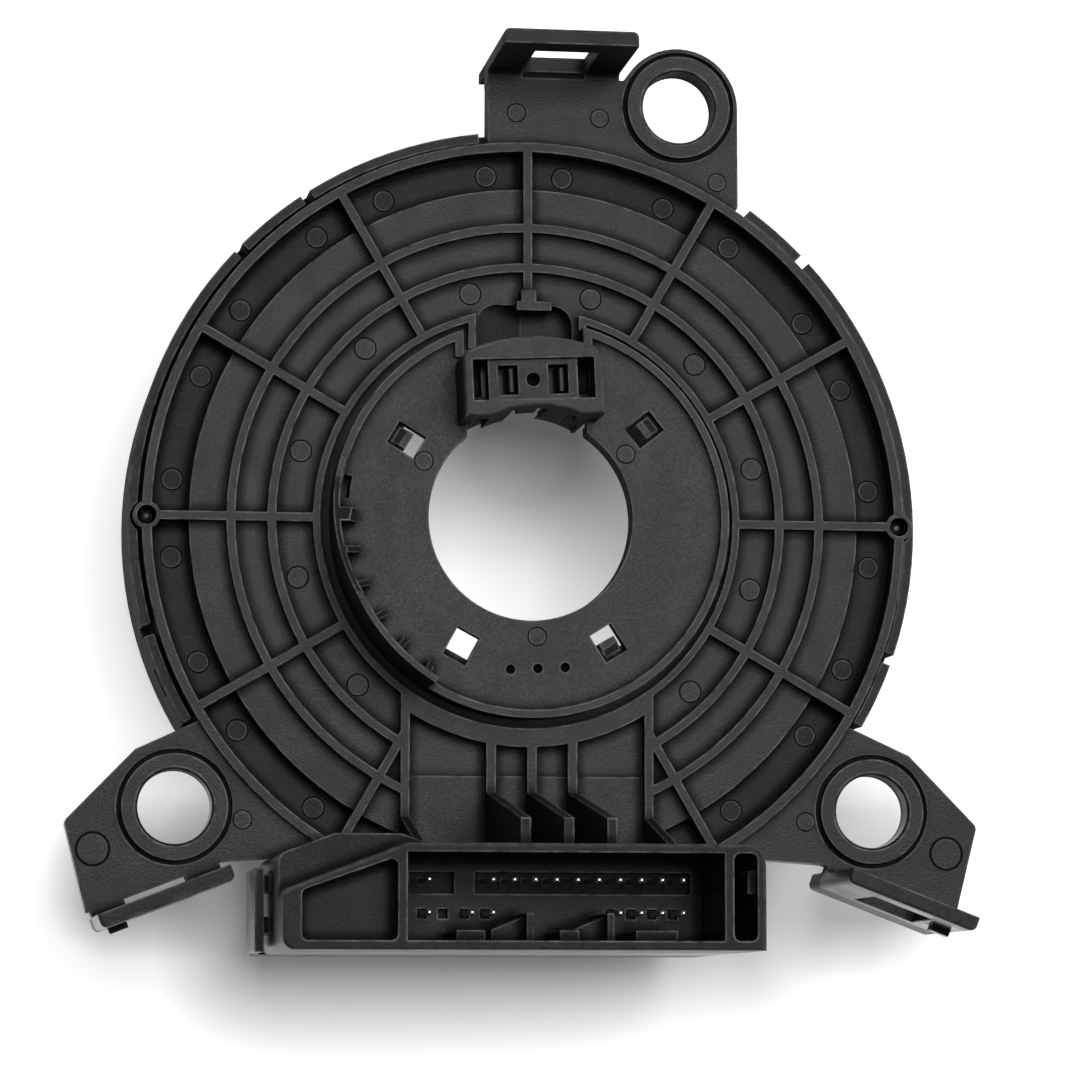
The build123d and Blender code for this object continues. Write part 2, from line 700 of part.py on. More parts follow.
def inner_cable_terminal():
    """The clamp block on the turning end of the flat cable, in the drum's window."""
    return arc_prism(drum_inner_r - inner_terminal_wall, cable_inner_r - sink,
                     -90 - inner_terminal_half_angle, -90 + inner_terminal_half_angle,
                     cable_low_z + cable_gap, cable_top_z - inner_terminal_wall)


def flat_cable():
    """The ribbon, wound as half circles on two alternating centres so that it grows evenly."""
    growth = (cable_outer_r - cable_inner_r) / cable_half_turns
    inner_edge = []
    outer_edge = []
    for index in range(cable_half_turns):
        centre = (0, 0) if index % 2 == 0 else (growth, 0)
        start = 0 if index % 2 == 0 else 180
        radius = cable_inner_r + index * growth
        inner_edge.append(CenterArc(centre, radius, start, 180))
        outer_edge.append(CenterArc(centre, radius + cable_thickness, start, 180))
    ends = [Line(inner_edge[0] @ 0, outer_edge[0] @ 0), Line(inner_edge[-1] @ 1, outer_edge[-1] @ 1)]
    ribbon = extrude(make_face(inner_edge + outer_edge + ends), cable_top_z - cable_low_z)
    return turned(Pos(0, 0, cable_low_z) * ribbon, 90 + 180 * (cable_half_turns % 2 == 0))


def at_window(shape, angle):
    """A shape made for the +X direction, set at a latch window."""
    return turned(Pos(window_circle_r, 0, 0) * shape, angle)


def latch_hook():
    """A hook in the +X direction: foot on the drum, stem in the window and nose over the ledge."""
    reach = drum_inner_r + drum_wall / 2 - window_circle_r
    half = latch_width / 2
    stem_x = (-latch_wall / 2, latch_wall / 2)
    hook = block(stem_x, (-half, half), (latch_foot_z, rear_disc_top_z - running_gap))
    hook += block((stem_x[1] - sink, reach), (-half, -half + latch_wall),
                  (latch_foot_z, latch_foot_z + latch_foot_height))
    ledge_z = rear_disc_top_z - window_ledge_drop + fit_gap
    nose = [(stem_x[1] - sink, ledge_z), (stem_x[1] + latch_nose, ledge_z),
            (stem_x[1] - sink, rear_disc_top_z - running_gap)]
    return hook + extrude(Plane.XZ * make_face(Polyline(*nose, close=True)), half, both=True)


def rotor_hub():
    """The front disc with its winding drum, latch hooks, drive lugs and stiffeners, open in its middle."""
    rim_low_z = front_disc_low_z - front_rim_height
    hub = tube(drum_inner_r, front_disc_r, front_disc_low_z, front_disc_top_z)
    hub += tube(drum_inner_r, drum_outer_r, collar_low_z, rear_disc_under_z)
    hub += tube(front_disc_r - front_rim_width, front_disc_r, rim_low_z, front_disc_low_z)
    stiffener = block((drum_outer_r - drum_wall / 2, front_disc_r - front_rim_width / 2),
                      (-stiffener_wall / 2, stiffener_wall / 2), (rim_low_z, front_disc_low_z))
    for index in range(stiffener_count):
        hub += turned(stiffener, (index + 0.5) * 360 / stiffener_count)
    lug = block((lug_circle_r - lug_width / 2, lug_circle_r + lug_width / 2),
                (-lug_length / 2, lug_length / 2), (floor_z, front_disc_low_z))
    lug = fillet(lug.edges().filter_by(Axis.Z), lug_round_r)
    for angle in (0, 180):
        hub += turned(lug, angle)
    for angle in latch_angles:
        hub += at_window(latch_hook(), angle)
    for width, depth, y in ((airbag_socket_width, airbag_socket_depth, front_socket_y),
                            (switch_socket_width, switch_socket_depth, -front_socket_y)):
        half_x, half_y = width / 2 + fit_gap, depth / 2 + fit_gap
        hub -= block((-half_x, half_x), (y - half_y, y + half_y), (floor_z, front_disc_low_z))
    window_half_angle = inner_terminal_half_angle + running_gap
    window = arc_prism(drum_inner_r - sink, drum_outer_r + sink,
                       -90 - window_half_angle, -90 + window_half_angle,
                       cable_low_z + cable_gap - fit_gap, cable_top_z - inner_terminal_wall + fit_gap)
    return hub - window


def cam():
    """The cam wall that cancels the turn signal: it climbs to its full height and is braced inside."""
    inner_r = rear_disc_r - cam_wall
    wall = arc_prism(inner_r, rear_disc_r, cam_start, cam_end, rear_disc_under_z, cam_top_z)
    inside_x, wall_x = inner_r - gusset_depth, inner_r + cam_wall / 2
    profile = [(inside_x, rear_disc_under_z), (wall_x, rear_disc_under_z), (wall_x, gusset_top_z),
               (inner_r, gusset_top_z), (inside_x, gusset_low_top_z)]
    face = Plane.XZ * make_face(Polyline(*profile, close=True))
    for index in range(gusset_count):
        breadth = 2 * gusset_wall if index == 0 else gusset_wall
        wall += turned(extrude(face, breadth / 2, both=True), gusset_first + index * gusset_pitch)
    high_y, low_y = cam_ramp_y
    above = make_face(Polyline((high_y, cam_ramp_low_z), (low_y, cam_top_z), (low_y, cam_top_z + past),
                               (rear_disc_r, cam_top_z + past), (rear_disc_r, cam_ramp_low_z), close=True))
    return wall - extrude(Plane.YZ * above, -rear_disc_r - past)


def rear_disc():
    """The turning disc in the housing's centre, notched for the rear socket, with the cam wall."""
    rim_inner = rear_disc_r - rear_rim_width
    plate = tube(rotor_bore_r, rear_disc_r, rear_disc_under_z, rear_disc_top_z)
    plate += tube(rotor_bore_r, rotor_bore_r + bore_wall, rear_disc_top_z - bore_wall_height, rear_disc_top_z)
    plate += tube(rim_inner, rear_disc_r, rear_disc_under_z, rear_disc_top_z + rear_rim_height)
    plate += tube(drum_outer_r + 2 * running_gap, rear_disc_r, rib_top + rear_skirt_gap, rear_disc_under_z)
    half = window_length / 2
    width = (-window_width / 2, window_width / 2)
    window = block((-half, half), width, (rear_disc_top_z - window_ledge_drop, rear_disc_top_z + past))
    window += block((-half, half - window_ledge), width, (rear_disc_under_z - past, rear_disc_top_z))
    for angle in latch_angles + [open_window_angle]:
        plate -= at_window(window, angle)
    for index in (-1, 0, 1):
        x = index * blind_hole_pitch
        plate -= disc(blind_hole_r, rear_disc_top_z - blind_hole_depth, rear_disc_top_z + past,
                      x, blind_hole_y)
    plate += cam()
    plate -= arc_prism(rear_disc_r - rear_rim_width - cam_slot_width, rear_disc_r - rear_rim_width,
                       cam_slot_start, cam_slot_end, rib_top, rear_disc_top_z + past)
    plate -= block((-notch_half_width, notch_half_width), (0, rear_disc_r + past),
                   (rear_disc_top_z - bore_wall_height - past, cam_top_z))
    for side in (-1, 1):
        x = side * (notch_half_width + notch_wall / 2)
        wall = block((x - notch_wall / 2, x + notch_wall / 2), (notch_wall_low_y, rear_disc_r),
                     (rear_disc_under_z, rear_disc_top_z + rear_rim_height))
        plate += wall & disc(rear_disc_r, rear_disc_under_z, cam_top_z)
    return plate


def socket_ring(half_width, outer_r, low_z, high_z):
    """A block with concentric arcs for its near and far sides."""
    body = block((-half_width, half_width), (socket_flat_y, outer_r + past), (low_z, high_z))
    return (body & disc(outer_r, low_z, high_z)) - disc(socket_inner_r, low_z - past, high_z + past)


def socket_shell():
    """The rear socket's head, which rests on the disc, and its legs, which go down inside the drum."""
    seat_z = rear_disc_top_z + fit_gap
    head = socket_ring(socket_half_width, socket_outer_r, seat_z, socket_top_z)
    head = fillet(head.edges().filter_by(Axis.Z).sort_by(Axis.Y)[-2:], socket_round_r)
    head = fillet(head.faces().sort_by(Axis.Z)[-1].edges(), socket_edge_r)
    stem = socket_ring(notch_half_width - fit_gap, drum_inner_r - fit_gap, socket_low_z, seat_z + sink)
    return head + stem


def rear_socket():
    """The socket housing that stands in the rotor's notch, hollow below its tray and open to the bore."""
    leg_inner_x = notch_half_width - fit_gap - socket_leg_wall
    tray_low_z = socket_tray_z - socket_tray_wall
    window_y = (socket_window_low_y, socket_window_high_y)
    body = socket_shell()
    body -= block((-socket_window_half, socket_window_half), window_y, (socket_tray_z, socket_top_z + past))
    body -= block((-leg_inner_x, leg_inner_x), window_y, (socket_low_z - past, tray_low_z))
    front = socket_ring(socket_half_width - socket_leg_wall, socket_window_low_y + sink, socket_low_z - past,
                        socket_top_z - socket_lip_height)
    for low_x, high_x, low_z in socket_fingers:
        front -= block((low_x, high_x), (socket_flat_y, window_y[1]), (low_z, socket_top_z))
    body -= front
    for side in (-1, 1):
        x = side * (socket_window_half - end_slot_width / 2 - 2 * fit_gap)
        body -= block((x - end_slot_width / 2, x + end_slot_width / 2),
                      (window_y[0] + insert_drop, window_y[1]), (tray_low_z - past, socket_tray_z + past))
    return body


def contact_insert():
    """The insert that carries the spring contacts, with two slots and a centre hole."""
    insert = block((-insert_half_width, insert_half_width),
                   (socket_window_low_y + fit_gap, socket_window_high_y - fit_gap),
                   (socket_tray_z, socket_top_z - insert_drop))
    middle_y = (socket_window_low_y + socket_window_high_y) / 2
    for x in (-insert_slot_x, insert_slot_x):
        insert -= block((x - insert_slot_width / 2, x + insert_slot_width / 2),
                        (middle_y - insert_slot_length / 2, middle_y + insert_slot_length / 2),
                        (socket_tray_z - past, socket_top_z + past))
    return insert - disc(insert_hole_r, socket_tray_z + insert_drop, socket_top_z + past, 0, middle_y)


def spring_contact(side):
    """A strip contact bent over a round crest, standing in its slot."""
    x = side * insert_slot_x + contact_offset
    y = (socket_window_low_y + socket_window_high_y) / 2
    length = insert_slot_length - 2 * contact_margin
    crest_z = socket_top_z - contact_crest_drop - contact_crest_r
    inner_r = contact_crest_r - contact_sheet

    def bow(radius, span):
        legs = block((x - radius, x + radius), (y - span / 2, y + span / 2), (socket_tray_z, crest_z))
        return legs + Pos(x, y, crest_z) * Rot(90, 0, 0) * Cylinder(radius, span)

    return bow(contact_crest_r, length) - bow(inner_r, length + past)


def front_socket(width, depth, y, key_side):
    """A shrouded socket on the front disc, open towards the steering wheel."""
    y_range = (y - depth / 2, y + depth / 2)
    body = block((-width / 2, width / 2), y_range, (floor_z, front_disc_low_z))
    body = fillet(body.edges().filter_by(Axis.Z), front_socket_round_r)
    wall = front_socket_wall
    body -= block((-width / 2 + wall, width / 2 - wall), (y_range[0] + wall, y_range[1] - wall),
                  (floor_z - past, front_disc_low_z - front_socket_floor))
    key_y = y_range[0] if key_side < 0 else y_range[1]
    return body - block((-front_key_width / 2, front_key_width / 2),
                        (key_y - wall - sink, key_y + wall + sink),
                        (floor_z - past, floor_z + front_key_depth))


def front_pins(count, y):
    """The pins in a front socket, one solid each."""
    low_z = front_disc_low_z - front_socket_floor
    half = terminal_size / 2
    first = -(count - 1) / 2 * front_pin_pitch
    pins = []
    for index in range(count):
        x = first + index * front_pin_pitch
        pins.append(block((x - half, x + half), (y - half, y + half), (low_z - front_pin_length, low_z)))
    return Compound(pins)


def on_rotor(shape):
    """A rotor piece at its rest position."""
    return turned(shape, rotor_rest_turn)


pieces = {
    "rear_housing": rear_housing(),
    "front_case": front_case(),
    "rear_sliding_sheet": sliding_sheet(pin_boss_r, trough_under_z - sheet_thickness),
    "front_sliding_sheet": sliding_sheet(pin_r, case_floor_top_z),
    "terminal_carrier": terminal_carrier(),
    "upper_terminals": terminal_row(upper_row, upper_row_y),
    "lower_terminals": terminal_row(lower_row, lower_row_y),
    "connector_side_latch": side_latch(),
    "outer_cable_terminal": outer_cable_terminal(),
    "flat_cable": flat_cable(),
    "rotor_hub": on_rotor(rotor_hub()),
    "rotor_rear_disc": on_rotor(rear_disc()),
    "rear_socket": on_rotor(rear_socket()),
    "contact_insert": on_rotor(contact_insert()),
    "left_spring_contact": on_rotor(spring_contact(-1)),
    "right_spring_contact": on_rotor(spring_contact(1)),
    "inner_cable_terminal": on_rotor(inner_cable_terminal()),
    "airbag_socket": on_rotor(front_socket(airbag_socket_width, airbag_socket_depth, front_socket_y, 1)),
    "airbag_socket_pins": on_rotor(front_pins(airbag_pin_count, front_socket_y)),
    "switch_socket": on_rotor(front_socket(switch_socket_width, switch_socket_depth, -front_socket_y, -1)),
    "switch_socket_pins": on_rotor(front_pins(switch_pin_count, -front_socket_y)),
}

os.makedirs("parts", exist_ok=True)
for name, shape in pieces.items():
    export_step(shape, "parts/" + name + ".step")
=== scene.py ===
# %% [markdown]
# # A steering clock spring
#
# A clock spring sits behind a steering wheel. Its drum holds a wound flat cable, so that the wheel's
# electric parts stay connected while the wheel turns. Here it lies with its steering-wheel side down on
# a white table and is seen from the column side: a ribbed black rear housing with three ears, a deep
# multi-pole connector, and in its middle the turning rotor with its small socket.
#
# The shapes that work are solids made elsewhere. This script loads them as a fixed frame, gives them
# their finishes, and adds the fine moulded detail.

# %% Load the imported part
import bmesh
import bpy
from math import cos, pi, radians, sin
from mathutils import Matrix, Vector


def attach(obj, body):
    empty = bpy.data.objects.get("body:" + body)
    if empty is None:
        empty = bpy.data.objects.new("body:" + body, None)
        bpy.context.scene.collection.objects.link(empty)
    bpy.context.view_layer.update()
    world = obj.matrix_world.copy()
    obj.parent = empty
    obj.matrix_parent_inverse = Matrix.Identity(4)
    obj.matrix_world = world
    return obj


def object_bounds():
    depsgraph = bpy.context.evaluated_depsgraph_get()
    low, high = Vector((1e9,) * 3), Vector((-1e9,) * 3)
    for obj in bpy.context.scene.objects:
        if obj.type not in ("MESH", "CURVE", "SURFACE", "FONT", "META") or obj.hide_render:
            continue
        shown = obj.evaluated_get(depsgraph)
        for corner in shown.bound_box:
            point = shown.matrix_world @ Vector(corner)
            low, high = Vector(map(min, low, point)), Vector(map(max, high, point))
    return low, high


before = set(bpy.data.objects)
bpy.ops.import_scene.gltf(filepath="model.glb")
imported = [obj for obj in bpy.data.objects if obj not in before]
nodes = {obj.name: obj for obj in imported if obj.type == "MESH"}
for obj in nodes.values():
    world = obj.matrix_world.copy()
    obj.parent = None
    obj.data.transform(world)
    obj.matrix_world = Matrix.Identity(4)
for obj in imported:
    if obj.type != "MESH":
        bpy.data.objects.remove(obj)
cad_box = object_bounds()
MM = 0.001
print("nodes:", len(nodes), "size in mm:", [round(side / MM, 1) for side in cad_box[1] - cad_box[0]])

# %% [markdown]
# ## The camera
#
# The part was seen from almost straight above, from about half a metre away, a little to its lower left,
# so a thin sliver of each left and lower wall shows. A camera that looks down can't take its upright from
# Blender's usual track, which wants +Z to be up in the picture. So its three axes are worked out here: it
# looks from its place to the point it aims at, and +Y of the part is up. Four bounces of light are plenty
# for black plastic on white, and keep the render quick.

# %% Camera
CAMERA_DISTANCE = 541 * MM
CAMERA_SIDE = Vector((-0.140, -0.117, 0.983))
AIM = Vector((1.563, -2.419, 0.0)) * MM
UPRIGHT = Vector((0, 1, 0))
LENS, SENSOR_WIDTH = 143.33, 36.0
CLIP_START, CLIP_END = 0.01, 20.0
LIGHT_BOUNCES = 4

camera_data = bpy.data.cameras.new("camera")
camera_data.sensor_width = SENSOR_WIDTH
camera_data.lens = LENS
camera_data.clip_start = CLIP_START
camera_data.clip_end = CLIP_END
camera = bpy.data.objects.new("camera", camera_data)
bpy.context.scene.collection.objects.link(camera)
place = CAMERA_SIDE.normalized() * CAMERA_DISTANCE
back = (place - AIM).normalized()
right = UPRIGHT.cross(back).normalized()
up = back.cross(right)
turn = Matrix((right, up, back)).transposed().to_4x4()
camera.matrix_world = Matrix.Translation(place) @ turn
bpy.context.scene.camera = camera
bpy.context.scene.view_settings.view_transform = "Standard"
bpy.context.scene.cycles.max_bounces = LIGHT_BOUNCES
print("camera at", [round(c / MM) for c in place], "mm")

# %% [markdown]
# ## Shader arithmetic
#
# A finish is a small calculation: where is an edge, how worn is it, how light is the plastic there. Each
# step could be wired by hand, but a formula reads better. `Socket` wraps a node's output and lends it
# the usual operators, and each operator adds one Math node.

# %% Sockets that do arithmetic
class Socket:
    """A node's output. Arithmetic on it adds Math nodes."""

    def __init__(self, owner, socket):
        self.owner = owner
        self.socket = socket

    def math(self, operation, first, second=0.0):
        return self.owner.node("ShaderNodeMath", {"operation": operation}, {0: first, 1: second})

    def __add__(self, other):
        return self.math("ADD", self, other)

    def __sub__(self, other):
        return self.math("SUBTRACT", self, other)

    def __rsub__(self, other):
        return self.math("SUBTRACT", other, self)

    def __mul__(self, other):
        return self.math("MULTIPLY", self, other)

    __radd__ = __add__
    __rmul__ = __mul__

    def root(self):
        return self.math("SQRT", self)

    def absolute(self):
        return self.math("ABSOLUTE", self)

    def at_least(self, other):
        return self.math("MAXIMUM", self, other)


print("sockets can add, subtract and multiply")

# %% [markdown]
# ## Node trees and finishes
#
# Every other node comes from one method, `node`, which first sets the node's own settings and then its
# inputs. The short methods below it name what the finishes need again and again, such as noise, patches
# and bumps. `NodeTree` fits a material and the world alike. `Finish` is a new material with its shader.

# %% Node trees
class NodeTree:
    """A node tree that is written as formulas."""

    def __init__(self, tree):
        self.tree = tree

    def put(self, socket, value):
        """Links a Socket to an input, or sets a plain value on it."""
        if isinstance(value, Socket):
            self.tree.links.new(value.socket, socket)
        else:
            socket.default_value = value

    def node(self, kind, settings=None, inputs=None, output=0):
        """Adds a node and returns one of its outputs, by number or name."""
        node = self.tree.nodes.new(kind)
        for name, value in (settings or {}).items():
            setattr(node, name, value)
        for name, value in (inputs or {}).items():
            self.put(node.inputs[name], value)
        return Socket(self, node.outputs[output])

    def coordinates(self, kind="Object"):
        return self.node("ShaderNodeTexCoord", output=kind)

    def split(self, vector, axis):
        """One of a vector's three numbers."""
        return self.node("ShaderNodeSeparateXYZ", {}, {0: vector}, output=axis)

    def noise(self, size, detail=2.0, stretch=None):
        """Noise whose spots measure about size metres."""
        where = self.coordinates()
        if stretch:
            where = self.node("ShaderNodeMapping", {}, {"Vector": where, "Scale": stretch})
        return self.node("ShaderNodeTexNoise", {},
                         {"Vector": where, "Scale": 1 / size, "Detail": detail, "Roughness": 0.55})

    def ramp(self, value, low, high):
        """0 below low, 1 above high, straight between."""
        return self.node("ShaderNodeMapRange", {"clamp": True},
                         {"Value": value, "From Min": low, "From Max": high})

    def patches(self, size, low, high, detail=2.0, stretch=None):
        """Noise as patches: 1 where it is above high, 0 where it is below low."""
        return self.ramp(self.noise(size, detail, stretch), low, high)

    def mix(self, factor, first, second):
        """Two colours, mixed. In a Mix node they are sockets 6 and 7, and the colour comes out of 2."""
        return self.node("ShaderNodeMix", {"data_type": "RGBA"}, {0: factor, 6: first, 7: second}, output=2)

    def bump(self, height, depth, strength=1.0, normal=None):
        """A normal that follows a height, on top of another normal where one is given."""
        inputs = {"Strength": strength, "Distance": depth, "Height": height}
        if normal is not None:
            inputs["Normal"] = normal
        return self.node("ShaderNodeBump", {}, inputs)


print("node trees ready")

# %% Finishes
class Finish(NodeTree):
    """A new material, with its shader."""

    def __init__(self, name):
        self.material = bpy.data.materials.new(name)
        self.material["slot"] = name
        self.material.use_nodes = True
        super().__init__(self.material.node_tree)
        self.shader = self.tree.nodes["Principled BSDF"]

    def surface(self, **values):
        """Sets the shader's own sockets, with _ in a name for a space."""
        for name, value in values.items():
            self.put(self.shader.inputs[name.replace("_", " ")], value)


def shade(colour, times=1.0, lift=0.0):
    """A colour made lighter or darker, with the fourth number that Blender's colours have."""
    return (*[part * times + lift for part in colour], 1)


print("a shade:", shade((0.5, 0.4, 0.3), times=0.5))

# %% [markdown]
# ## Moulded plastic: where it is worn, and where light and shade are painted
#
# Nearly every visible piece is black glass-filled plastic from a spark-eroded mould. Its faces are etched:
# satin, with a fine grain and faint cloudy flow marks, and those that face up catch the lamps as a cool
# dark grey. Only the outer walls of the connector and of the lower ears are polished, and they mirror the
# white table at a flat angle. Edges are never knife-sharp, and handling has rubbed them smoother, with
# short scuffs here and there. Their pale line is painted, partly as wear and partly as a highlight. Inner
# corners are made matt and painted dark as shade.
#
# Each of these starts as a mask, a number that is 1 where it shows and 0 elsewhere. Rounding each of the
# frame's edges would mean changing its mesh, which stays as it is, so a Bevel node rounds the light on them
# instead. The angle between the rounded and the plain normal then says where an edge is, and that mask
# carries a painted highlight, broken up in patches like wear. An Ambient Occlusion node finds the inner
# corners, where shade is painted, the object's own normal tells walls from tops, and an attribute on the
# added marks says where their fine groove is painted dark.

# %% Masks of the plastic
EDGE_RADIUS = 0.36 * MM
CORNER_REACH = 1.6 * MM
# The polish fades in over these distances from the axis, and over these places down the part
POLISH_RADII = (50 * MM, 51 * MM)
POLISH_DOWN = (-30 * MM, -34 * MM)


def edge_highlights_and_wear(finish, rounded):
    """Sharp outer edges, where a pale line is painted: a highlight, broken up like wear, here more and
    there less.
    """
    plain = finish.node("ShaderNodeNewGeometry", output="Normal")
    along = finish.node("ShaderNodeVectorMath", {"operation": "DOT_PRODUCT"}, {0: rounded, 1: plain},
                        output="Value")
    sharp = finish.ramp(1 - along, low=0.004, high=0.055)
    return sharp * finish.patches(2.0 * MM, low=0.28, high=0.62, detail=4.0)


def painted_corner_shade(finish):
    """Where shade is painted: places that walls close in on, and the grooves of the ejector marks."""
    open_sky = finish.node("ShaderNodeAmbientOcclusion", {"samples": 3, "only_local": True},
                           {"Distance": CORNER_REACH}, output="AO")
    groove = finish.node("ShaderNodeAttribute", {"attribute_name": "groove"}, output="Fac")
    return finish.ramp(1 - open_sky, low=0.07, high=0.36).at_least(groove)


def walls(finish, radius, y):
    """Upright walls, and those of them that are polished."""
    facing_up = finish.split(finish.coordinates("Normal"), 2).absolute()
    upright = finish.ramp(1 - facing_up, low=0.45, high=0.85)
    polished = upright * finish.ramp(radius, *POLISH_RADII) * finish.ramp(y, *POLISH_DOWN)
    return upright, polished


def scuffs(finish):
    """Short thin scratches, in a few places only."""
    scratches = finish.patches(0.5 * MM, low=0.66, high=0.70, stretch=(0.10, 1.0, 1.0))
    return scratches * finish.patches(9 * MM, low=0.54, high=0.62)


print("masks for edges, corners, walls and scuffs")

# %% [markdown]
# ## Moulded plastic: how it looks there
#
# The masks don't colour anything themselves. A small table says what each one does to the plastic's own
# colour and roughness, so the wear, the painted edge highlights and the painted shade in corners can be
# tuned in one place, and a loop lays them over each other in the table's order, with the painted corner
# shade last. Etched walls are made rougher than tops, so that they stay black and don't mirror the table,
# and polished ones far smoother. The grain is a bump, because it is too fine to be modelled.

# %% Moulded plastic
# How far a mask covers the colour below it, its own colour as a multiple of the plastic's with a lift on
# top, and what it adds to the roughness
EFFECTS = {
    "flow": dict(cover=1.0, times=1.4, lift=0.0, rougher=0.09),
    "specks": dict(cover=0.4, times=4.5, lift=0.0, rougher=-0.09),
    # Edges: a painted highlight, in patches like wear
    "edges": dict(cover=0.8, times=2.0, lift=0.26, rougher=-0.06),
    "scuffs": dict(cover=0.3, times=1.0, lift=0.03, rougher=-0.04),
    # Corners: painted shade where walls close in, and in the marks' grooves
    "corners": dict(cover=1.0, times=0.05, lift=0.0, rougher=0.50),
}
WALLS_ROUGHER, DULL_ROUGHER, RING_ROUGHER = 0.4, 0.18, 0.025
POLISHED_ROUGH = 0.26
RING_FADES_IN, RING_FADES_OUT = 0.6 * MM, 0.9 * MM
GRAIN_SIZE, GRAIN_DEPTH = 0.26 * MM, 0.065 * MM


def plastic(name, colour, rough, shine, dull_heights=(), ring=None):
    """Black moulded plastic: etched faces, polished outer walls, edges with a painted highlight and wear,
    and inner corners with painted shade.
    """
    finish = Finish(name)
    rounded = finish.node("ShaderNodeBevel", {"samples": 4}, {"Radius": EDGE_RADIUS})
    x, y, z = (finish.split(finish.coordinates(), axis) for axis in range(3))
    radius = (x * x + y * y).root()
    upright, polished = walls(finish, radius, y)
    masks = {
        "flow": finish.patches(5 * MM, low=0.34, high=0.68, detail=5.0),
        "specks": finish.patches(0.24 * MM, low=0.38, high=0.70),
        "edges": edge_highlights_and_wear(finish, rounded),
        "scuffs": scuffs(finish),
        "corners": painted_corner_shade(finish),
    }

    tone = shade(colour)
    # The flow marks swing the roughness to both sides of the plastic's own
    roughness = rough - EFFECTS["flow"]["rougher"] / 2
    for place, effect in EFFECTS.items():
        covered = masks[place] * effect["cover"]
        tone = finish.mix(covered, tone, shade(colour, effect["times"], effect["lift"]))
        roughness = roughness + masks[place] * effect["rougher"]
    roughness = roughness + (upright - polished) * WALLS_ROUGHER - polished * (rough - POLISHED_ROUGH)
    for from_z, to_z in dull_heights:
        roughness = roughness + finish.ramp(z, from_z, to_z) * DULL_ROUGHER
    if ring:
        inner, outer = ring
        outside = finish.ramp(radius, outer, outer + RING_FADES_OUT)
        band = finish.ramp(radius, inner - RING_FADES_IN, inner) * (1 - outside)
        roughness = roughness + band * RING_ROUGHER

    grain = finish.noise(GRAIN_SIZE, detail=2.5) * (1 - polished)
    finish.surface(Base_Color=tone, Roughness=roughness, Specular_IOR_Level=shine,
                   Normal=finish.bump(grain, GRAIN_DEPTH, normal=rounded))
    return finish.material


print("plastic is ready, with", len(EFFECTS), "effects")

# %% [markdown]
# ## The five plastics
#
# The mouldings share that recipe and differ a little in colour, roughness and shine. The housing turns
# duller where its trough is sunk and up the walls of the connector. The turning disc is a touch lighter,
# with a faint duller ring around it. The carrier deep under the connector's floor is the darkest.

# %% The five plastics
SUNK_TROUGH = (-2.2 * MM, -3.2 * MM)
UP_THE_CONNECTOR = (10 * MM, 20 * MM)
DISC_RING = (17.8 * MM, 19.0 * MM)

housing_plastic = plastic("housing_plastic", (0.0055, 0.0055, 0.0063), rough=0.42, shine=0.165,
                          dull_heights=[SUNK_TROUGH, UP_THE_CONNECTOR])
case_plastic = plastic("case_plastic", (0.005, 0.005, 0.0058), rough=0.46, shine=0.13)
rotor_plastic = plastic("rotor_plastic", (0.0085, 0.0085, 0.0097), rough=0.43, shine=0.17, ring=DISC_RING)
insert_plastic = plastic("insert_plastic", (0.005, 0.005, 0.006), rough=0.42, shine=0.15)
carrier_plastic = plastic("carrier_plastic", (0.003, 0.003, 0.0035), rough=0.55, shine=0.10)
print("nodes in the housing's plastic:", len(housing_plastic.node_tree.nodes))

# %% [markdown]
# ## Metal and film
#
# The pins are tinned brass: a soft grey sheen with fine draw marks along their length. The two spring
# strips are rolled steel, darker and smoother. The sliding sheets are a milky low-friction film and the
# flat cable is copper between two clear orange-brown films. They are mostly hidden, but they show through
# the slots and in a part that is taken apart. Noise that is stretched along one axis gives draw marks and
# streaks without a picture or an unwrapped mesh.

# %% Metal and film
FINE_DEPTH = 0.01 * MM
DRAWN_ROUGHER, STREAKS_ROUGHER = 0.18, 0.1


def metal(name, colour, rough, draw):
    """Metal with draw marks along one axis."""
    finish = Finish(name)
    marks = finish.noise(0.35 * MM, detail=3.0, stretch=draw)
    cloud = finish.patches(1.5 * MM, low=0.35, high=0.7)
    finish.surface(Base_Color=finish.mix(cloud, shade(colour), shade(colour, times=0.78)), Metallic=1.0,
                   Roughness=rough + marks * DRAWN_ROUGHER,
                   Normal=finish.bump(marks, FINE_DEPTH, strength=0.6))
    return finish.material


def film(name, colour, rough):
    """A thin plastic film, faintly streaked."""
    finish = Finish(name)
    streaks = finish.patches(3 * MM, low=0.3, high=0.7, detail=3.0, stretch=(1, 1, 0.2))
    finish.surface(Base_Color=finish.mix(streaks, shade(colour), shade(colour, times=0.85)),
                   Roughness=rough + streaks * STREAKS_ROUGHER,
                   Normal=finish.bump(streaks, FINE_DEPTH, strength=0.4))
    return finish.material


tinned_terminal = metal("tinned_terminal", (0.50, 0.48, 0.43), rough=0.30, draw=(1, 1, 0.08))
spring_steel = metal("spring_steel", (0.022, 0.022, 0.023), rough=0.34, draw=(1, 0.1, 1))
slip_film = film("slip_film", (0.62, 0.62, 0.58), rough=0.45)
ribbon_film = film("ribbon_film", (0.36, 0.19, 0.07), rough=0.30)
print("metals and films:", [m.name for m in (tinned_terminal, spring_steel, slip_film, ribbon_film)])

# %% [markdown]
# ## Dressing the solids
#
# Each solid of the frame comes with a plain material in its slot. Its mesh isn't touched: only the slot is
# given the finish that the real piece has.

